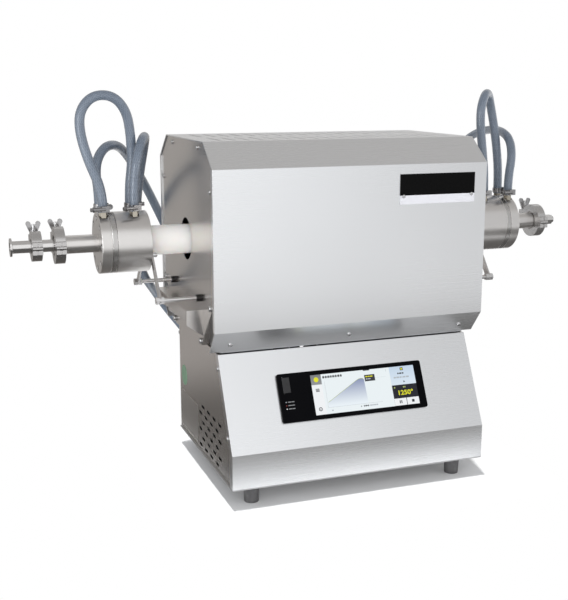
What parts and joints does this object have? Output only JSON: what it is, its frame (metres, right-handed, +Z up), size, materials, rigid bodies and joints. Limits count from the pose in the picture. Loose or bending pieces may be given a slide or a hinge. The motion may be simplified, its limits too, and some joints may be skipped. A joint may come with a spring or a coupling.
{
  "type": "tube furnace",
  "caption": "Bench tube furnace: sheet-metal body on a control cabinet, ceramic work tube, water-cooled flanges, cooling hoses and clamped gas ports.",
  "frame": {"origin": "on the bench, under the middle of the furnace's outline without its hoses", "axes": "+X along the work tube to the gas outlet on the right, +Y to the back, +Z up"},
  "size_m": [1.026, 0.4693, 0.6585],
  "materials": {
    "brushed_sheet": "satin",
    "plain_sheet": "satin",
    "fibre": "matte",
    "silicon_carbide": "matte",
    "white_ceramic": "satin",
    "turned_steel": "polished",
    "bright_steel": "satin",
    "clamp_casting": "satin",
    "plated_brass": "satin",
    "seal_rubber": "matte",
    "hose_wall": "satin",
    "black_gloss": "gloss",
    "screen_glass": "gloss",
    "black_plastic": "matte",
    "winding": "matte",
    "power_module": "satin",
    "switchgear": "satin",
    "plate_black": "gloss"
  },
  "bodies": {
    "furnace": {"front_cover": "brushed_sheet", "rear_cover": "brushed_sheet", "roof_cover": "brushed_sheet", "body_floor": "plain_sheet", "end_panels": "brushed_sheet", "inner_end_walls": "plain_sheet", "insulation_lower": "fibre", "insulation_upper": "fibre", "heating_rods": "silicon_carbide", "thermocouple": "white_ceramic", "work_tube": "white_ceramic", "tube_plugs": "fibre", "support_brackets": "plain_sheet", "tube_supports": "bright_steel", "flange_body_left": "turned_steel", "flange_cap_left": "turned_steel", "flange_body_right": "turned_steel", "flange_cap_right": "turned_steel", "gland_rings": "turned_steel", "hose_barbs": "plated_brass", "reducer_spool": "turned_steel", "gas_port_spool": "turned_steel", "gas_fitting": "turned_steel", "seal_rings": "seal_rubber", "clamp_lower_halves": "clamp_casting", "cabinet_front_panel": "brushed_sheet", "cabinet_sides": "brushed_sheet", "cabinet_rear_panel": "brushed_sheet", "cabinet_tray": "plain_sheet", "feet": "seal_rubber", "controller_bezel": "black_gloss", "touch_screen": "screen_glass", "controller_housing": "black_plastic", "swing_bolts_and_hinge_pins": "bright_steel", "transformer": "winding", "power_controller": "power_module", "contactor_and_terminals": "switchgear", "fan_frame_and_guard": "black_plastic", "mains_gland": "black_plastic", "bolts": "bright_steel", "nameplate": "plate_black", "screws": "bright_steel", "hose_left_jumper": "hose_wall", "hose_left_cap_return": "hose_wall", "hose_left_body_supply": "hose_wall", "hose_right_jumper": "hose_wall", "hose_right_cap_return": "hose_wall", "hose_right_body_supply": "hose_wall", "hose_clamps": "bright_steel"},
    "port_clamp_half": {"port_clamp_upper": "clamp_casting"},
    "port_clamp_lift": {"port_clamp_washer": "bright_steel"},
    "port_clamp_nut": {"port_clamp_wing_nut": "bright_steel"},
    "nozzle_clamp_left_half": {"nozzle_clamp_left_upper": "clamp_casting"},
    "nozzle_clamp_left_lift": {"nozzle_clamp_left_washer": "bright_steel"},
    "nozzle_clamp_left_nut": {"nozzle_clamp_left_wing_nut": "bright_steel"},
    "nozzle_clamp_right_half": {"nozzle_clamp_right_upper": "clamp_casting"},
    "nozzle_clamp_right_lift": {"nozzle_clamp_right_washer": "bright_steel"},
    "nozzle_clamp_right_nut": {"nozzle_clamp_right_wing_nut": "bright_steel"},
    "fan": {"fan_rotor": "black_plastic"},
    "usb_flap": {"usb_flap": "seal_rubber"}
  },
  "joints": [
    {"name": "port_clamp_nut_lift", "type": "slide", "parent": "furnace", "child": "port_clamp_lift", "axis": [0, 0, 1], "range_m": [0, 0.008]},
    {"name": "port_clamp_nut_spin", "type": "hinge", "parent": "port_clamp_lift", "child": "port_clamp_nut", "pos_m": [-0.4715, 0.0485, 0.4305], "axis": [0, 0, 1], "range_deg": [0, 2880]},
    {"name": "port_clamp_half_open", "type": "hinge", "parent": "furnace", "child": "port_clamp_half", "pos_m": [-0.4715, -0.007, 0.41], "axis": [1, 0, 0], "range_deg": [0, 7.33]},
    {"name": "nozzle_clamp_left_nut_lift", "type": "slide", "parent": "furnace", "child": "nozzle_clamp_left_lift", "axis": [0, 0, 1], "range_m": [0, 0.008]},
    {"name": "nozzle_clamp_left_nut_spin", "type": "hinge", "parent": "nozzle_clamp_left_lift", "child": "nozzle_clamp_left_nut", "pos_m": [-0.435, 0.0545, 0.432], "axis": [0, 0, 1], "range_deg": [0, 2880]},
    {"name": "nozzle_clamp_left_half_open", "type": "hinge", "parent": "furnace", "child": "nozzle_clamp_left_half", "pos_m": [-0.435, -0.013, 0.41], "axis": [1, 0, 0], "range_deg": [0, 6.15]},
    {"name": "nozzle_clamp_right_nut_lift", "type": "slide", "parent": "furnace", "child": "nozzle_clamp_right_lift", "axis": [0, 0, 1], "range_m": [0, 0.008]},
    {"name": "nozzle_clamp_right_nut_spin", "type": "hinge", "parent": "nozzle_clamp_right_lift", "child": "nozzle_clamp_right_nut", "pos_m": [0.471, 0.0545, 0.432], "axis": [0, 0, 1], "range_deg": [0, 2880]},
    {"name": "nozzle_clamp_right_half_open", "type": "hinge", "parent": "furnace", "child": "nozzle_clamp_right_half", "pos_m": [0.471, -0.013, 0.41], "axis": [1, 0, 0], "range_deg": [0, 6.15]},
    {"name": "fan_spin", "type": "hinge", "parent": "furnace", "child": "fan", "pos_m": [0.018, 0.1275, 0.14], "axis": [0, 1, 0], "continuous": true},
    {"name": "usb_flap_open", "type": "hinge", "parent": "furnace", "child": "usb_flap", "pos_m": [-0.1066, -0.15101, 0.18522], "axis": [0, -0.452, -0.892], "range_deg": [0, 95]}
  ],
  "couplings": [
    {"joint": "port_clamp_nut_lift", "follows": "port_clamp_nut_spin", "m_per_rad": 0.00015915},
    {"joint": "port_clamp_half_open", "follows": "port_clamp_nut_spin", "ratio": 0.0025465},
    {"joint": "nozzle_clamp_left_nut_lift", "follows": "nozzle_clamp_left_nut_spin", "m_per_rad": 0.00015915},
    {"joint": "nozzle_clamp_left_half_open", "follows": "nozzle_clamp_left_nut_spin", "ratio": 0.0021363},
    {"joint": "nozzle_clamp_right_nut_lift", "follows": "nozzle_clamp_right_nut_spin", "m_per_rad": 0.00015915},
    {"joint": "nozzle_clamp_right_half_open", "follows": "nozzle_clamp_right_nut_spin", "ratio": 0.0021363}
  ]
}
